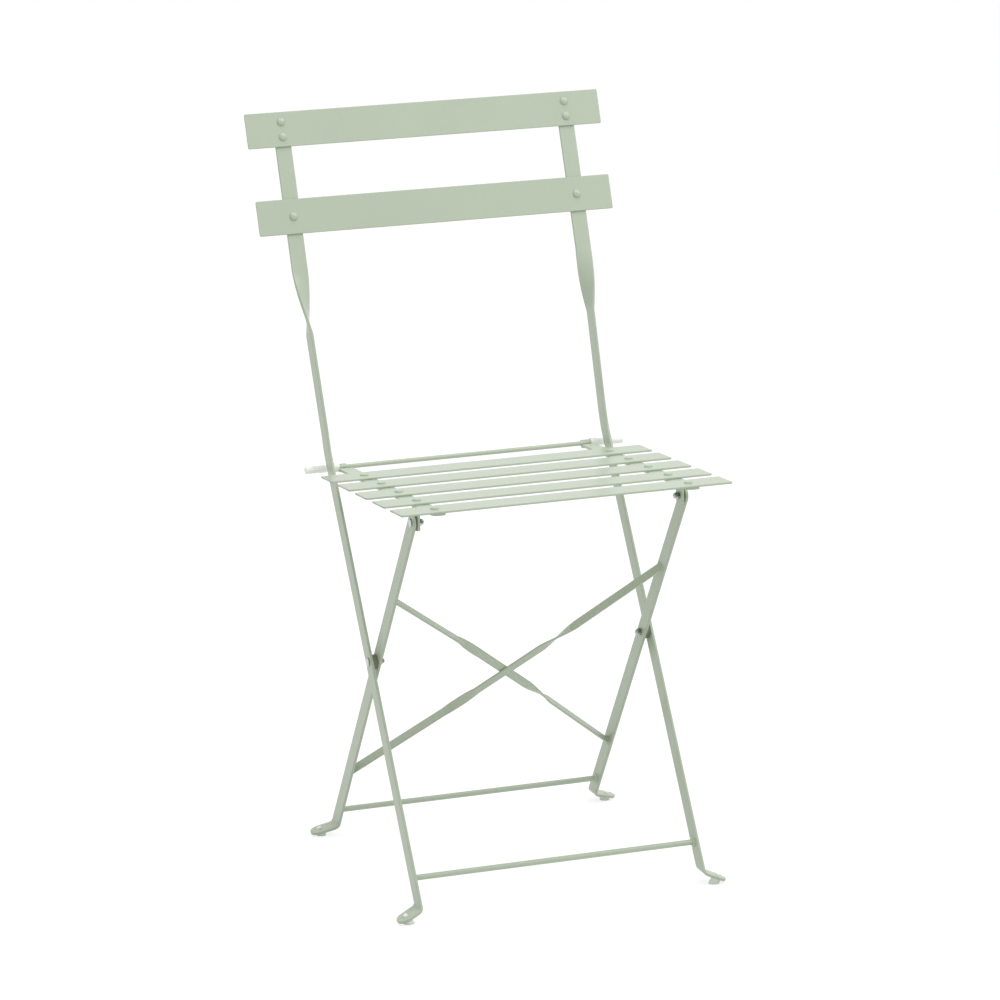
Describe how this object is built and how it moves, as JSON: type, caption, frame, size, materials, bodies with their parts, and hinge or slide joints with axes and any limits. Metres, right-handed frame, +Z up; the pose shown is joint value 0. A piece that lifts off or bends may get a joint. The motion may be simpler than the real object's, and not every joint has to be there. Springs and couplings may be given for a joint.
{
  "type": "folding chair",
  "caption": "Folding metal bistro chair: crossing flat-bar legs, slatted seat and back, twisted cross braces and a rear rod that hooks the open seat behind the long bars.",
  "frame": {"origin": "on the floor, under the middle of the open chair's box", "axes": "+X to the chair's right, +Y to its back, +Z up"},
  "size_m": [0.416, 0.448, 0.798],
  "materials": {
    "sage_powder_coat": "satin",
    "white_nylon": "matte",
    "black_nylon": "matte",
    "zinc_plated_steel": "satin"
  },
  "bodies": {
    "back_frame": {"right_long_bar": "sage_powder_coat", "left_long_bar": "sage_powder_coat", "upper_back_slat": "sage_powder_coat", "lower_back_slat": "sage_powder_coat", "back_rivets": "sage_powder_coat", "front_stretcher": "sage_powder_coat", "right_front_glide": "white_nylon", "left_front_glide": "white_nylon", "crossing_bolts": "zinc_plated_steel", "crossing_spacers": "black_nylon", "crossing_cap_nuts": "zinc_plated_steel"},
    "rear_leg_frame": {"right_short_bar": "sage_powder_coat", "left_short_bar": "sage_powder_coat", "rear_stretcher": "sage_powder_coat", "right_rear_glide": "white_nylon", "left_rear_glide": "white_nylon", "rear_brace": "sage_powder_coat", "front_brace": "sage_powder_coat", "seat_bolts": "zinc_plated_steel", "seat_washers": "zinc_plated_steel", "seat_cap_nuts": "zinc_plated_steel"},
    "seat": {"seat_slat_1": "sage_powder_coat", "seat_slat_2": "sage_powder_coat", "seat_slat_3": "sage_powder_coat", "seat_slat_4": "sage_powder_coat", "seat_slat_5": "sage_powder_coat", "seat_rivets": "sage_powder_coat", "right_rail": "sage_powder_coat", "left_rail": "sage_powder_coat", "rear_rod": "sage_powder_coat", "right_sleeve": "white_nylon", "left_sleeve": "white_nylon"}
  },
  "joints": [
    {"name": "leg_fold", "type": "hinge", "parent": "back_frame", "child": "rear_leg_frame", "pos_m": [0, -0.05087, 0.2436], "axis": [-1, 0, 0], "range_deg": [0, 54]},
    {"name": "seat_fold", "type": "hinge", "parent": "rear_leg_frame", "child": "seat", "pos_m": [0, -0.16661, 0.42881], "axis": [1, 0, 0], "range_deg": [0, 110.43]}
  ],
  "couplings": [
    {"joint": "seat_fold", "follows": "leg_fold", "ratio": 2.045}
  ]
}
